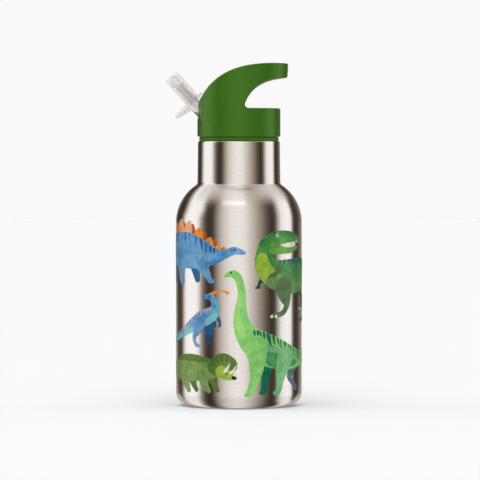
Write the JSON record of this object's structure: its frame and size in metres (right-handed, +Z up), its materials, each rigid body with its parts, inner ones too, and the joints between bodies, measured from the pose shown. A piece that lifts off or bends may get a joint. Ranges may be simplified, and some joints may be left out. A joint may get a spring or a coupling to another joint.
{
  "type": "kids water bottle",
  "caption": "Small double-walled steel drinking bottle with a green screw lid, a carry hook open at one side and a clear flip-up straw spout; printed body",
  "frame": {"origin": "centre of the base disc's underside, on the bottle's axis", "axes": "+Z up along the bottle's axis; -X the side the spout opens to; +X the open end of the carry hook; Y along the spout's hinge"},
  "size_m": [0.0754, 0.07, 0.1903],
  "materials": {
    "steel": "brushed round the body",
    "bare_steel": "satin, electropolished",
    "green_plastic": "satin moulded",
    "green_rubber": "matt silicone",
    "clear_plastic": "clear gloss",
    "clear_silicone": "clear silicone",
    "white_silicone": "matt silicone",
    "milky_plastic": "natural, unpigmented",
    "getter_alloy": "sintered powder",
    "seal_glass": "fused bead"
  },
  "bodies": {
    "bottle": {"outer_shell": "steel", "base_disc": "steel", "inner_liner": "bare_steel", "seal_bead": "seal_glass", "getter": "getter_alloy"},
    "gasket": {"lid_gasket": "green_rubber"},
    "lid": {"lid_shell": "green_plastic", "lid_plug": "green_plastic", "vent_valve": "white_silicone", "spout_cradle": "milky_plastic", "spout_seal": "white_silicone", "straw": "clear_plastic"},
    "spout": {"spout_stem": "clear_plastic", "bite_valve": "clear_silicone"}
  },
  "joints": [
    {"name": "lid_lift", "type": "slide", "parent": "bottle", "child": "gasket", "axis": [0, 0, 1], "range_m": [0, 0.0052]},
    {"name": "lid_turn", "type": "hinge", "parent": "gasket", "child": "lid", "pos_m": [0, 0, 0.15], "axis": [0, 0, 1], "range_deg": [0, 460]},
    {"name": "spout_flip", "type": "hinge", "parent": "lid", "child": "spout", "pos_m": [-0.01655, 0, 0.15955], "axis": [0, 1, 0], "range_deg": [0, 76]}
  ],
  "couplings": [
    {"joint": "lid_lift", "follows": "lid_turn", "m_per_rad": 0.00063662}
  ]
}
